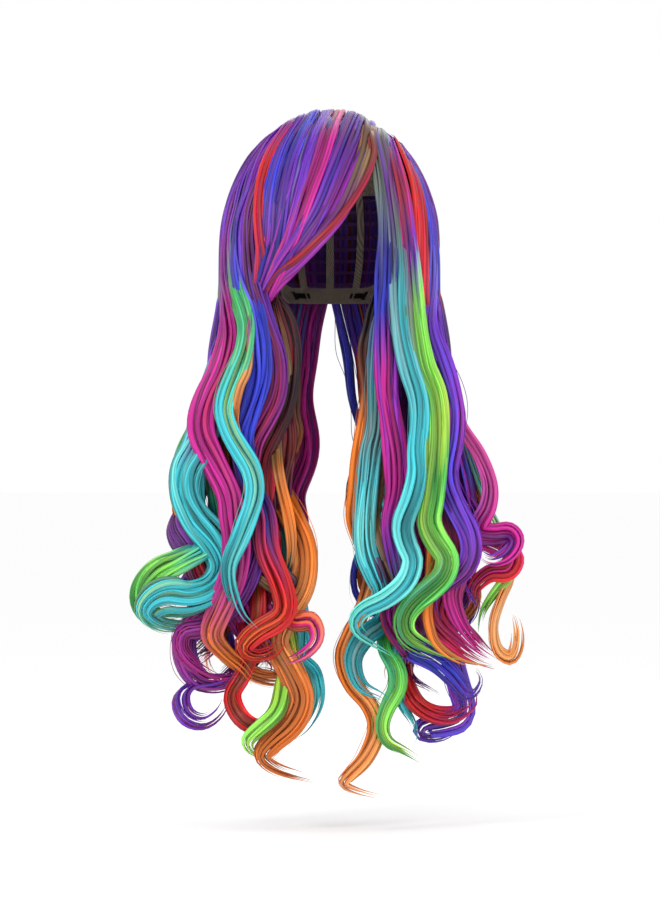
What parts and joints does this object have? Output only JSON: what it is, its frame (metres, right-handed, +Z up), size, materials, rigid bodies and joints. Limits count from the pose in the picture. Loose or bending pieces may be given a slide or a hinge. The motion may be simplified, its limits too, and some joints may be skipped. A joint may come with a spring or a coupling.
{
  "type": "costume wig",
  "caption": "Long wavy multicoloured costume wig with a side-swept fringe, on an adjustable wefted cap with a parting patch.",
  "frame": {"origin": "centre of the head space, at brow height, where a head 150 mm wide and 188 mm deep is widest", "axes": "+Z up towards the crown, +Y towards the back of the head, +X towards the wearer's left"},
  "size_m": [0.3739, 0.2276, 0.684],
  "materials": {
    "hair_violet": "satin synthetic fibre, violet shading to deep blue",
    "hair_blue": "satin synthetic fibre, deep blue",
    "hair_magenta": "satin synthetic fibre, magenta",
    "hair_red": "satin synthetic fibre, red",
    "hair_orange": "satin synthetic fibre, orange",
    "hair_turquoise": "satin synthetic fibre, turquoise",
    "hair_green": "satin synthetic fibre, green shading to lime",
    "cap_net": "matt knitted net",
    "cap_cloth": "matt woven tape with stitched edges",
    "elastic": "matt ribbed elastic",
    "weft_thread": "matt stitched fibre track",
    "parting_skin": "matt skin-toned film",
    "stay": "smooth plastic strip",
    "hook_plastic": "moulded black plastic"
  },
  "bodies": {
    "root": {"adjuster_pockets_left": "cap_cloth", "adjuster_pockets_right": "cap_cloth", "cap_rib_1": "elastic", "cap_rib_2": "elastic", "cap_rib_3": "elastic", "cap_rib_4": "elastic", "cap_rib_5": "elastic", "cap_rib_6": "elastic", "cap_rib_7": "elastic", "crown_hair_left": "hair_red", "crown_hair_right": "hair_violet", "crown_net": "cap_net", "front_band": "cap_cloth", "nape_band": "cap_cloth", "parting_skin": "parting_skin", "side_net_left": "cap_net", "side_net_right": "cap_net", "upper_back_hair_left": "hair_blue", "upper_back_hair_right": "hair_violet", "weft_01": "weft_thread", "weft_02": "weft_thread", "weft_03": "weft_thread", "weft_04": "weft_thread", "weft_05": "weft_thread", "weft_06": "weft_thread", "weft_07": "weft_thread", "weft_08": "weft_thread", "weft_09": "weft_thread", "weft_10": "weft_thread", "weft_11": "weft_thread"},
    "fringe": {"fringe_lower": "hair_magenta", "fringe_middle": "hair_blue", "fringe_upper": "hair_violet"},
    "front_hair_right": {"front_lock_right_inner": "hair_orange", "front_lock_right_middle": "hair_green", "front_lock_right_outer": "hair_magenta"},
    "front_hair_left": {"front_lock_left_inner": "hair_turquoise", "front_lock_left_middle": "hair_green", "front_lock_left_outer": "hair_magenta"},
    "back_hair": {"back_lock_left_inner": "hair_blue", "back_lock_left_middle": "hair_violet", "back_lock_left_outer": "hair_orange", "back_lock_right_inner": "hair_blue", "back_lock_right_middle": "hair_violet", "back_lock_right_outer": "hair_red", "side_lock_left": "hair_red", "side_lock_right": "hair_turquoise"},
    "strap_right": {"strap_elastic_right": "elastic", "strap_hook_right": "hook_plastic"},
    "strap_left": {"strap_elastic_left": "elastic", "strap_hook_left": "hook_plastic"},
    "ear_tab_fold_right": {"ear_stay_right": "stay", "ear_tab_right": "cap_cloth"},
    "ear_tab_fold_left": {"ear_stay_left": "stay", "ear_tab_left": "cap_cloth"}
  },
  "joints": [
    {"name": "fringe_lift", "type": "hinge", "parent": "root", "child": "fringe", "pos_m": [0, -0.062, 0.099], "axis": [-1, 0, 0], "range_deg": [0, 35]},
    {"name": "front_hair_right_swing", "type": "hinge", "parent": "root", "child": "front_hair_right", "pos_m": [-0.08, -0.05, -0.075], "axis": [0, 1, 0], "range_deg": [0, 25]},
    {"name": "front_hair_left_swing", "type": "hinge", "parent": "root", "child": "front_hair_left", "pos_m": [0.08, -0.05, -0.075], "axis": [0, -1, 0], "range_deg": [0, 25]},
    {"name": "back_hair_swing", "type": "hinge", "parent": "root", "child": "back_hair", "pos_m": [0, 0.05, -0.075], "axis": [1, 0, 0], "range_deg": [0, 25]},
    {"name": "strap_right_adjust", "type": "hinge", "parent": "root", "child": "strap_right", "pos_m": [0, 0.0266, -0.066], "axis": [0, 0, -1], "range_deg": [0, 12]},
    {"name": "strap_left_adjust", "type": "hinge", "parent": "root", "child": "strap_left", "pos_m": [0, 0.0266, -0.066], "axis": [0, 0, 1], "range_deg": [0, 12]},
    {"name": "ear_tab_right_fold", "type": "hinge", "parent": "root", "child": "ear_tab_fold_right", "pos_m": [-0.0706, -0.031, 0.004], "axis": [0.266, -0.964, 0], "range_deg": [0, 20]},
    {"name": "ear_tab_left_fold", "type": "hinge", "parent": "root", "child": "ear_tab_fold_left", "pos_m": [0.0706, -0.031, 0.004], "axis": [0.266, 0.964, 0], "range_deg": [0, 20]}
  ]
}
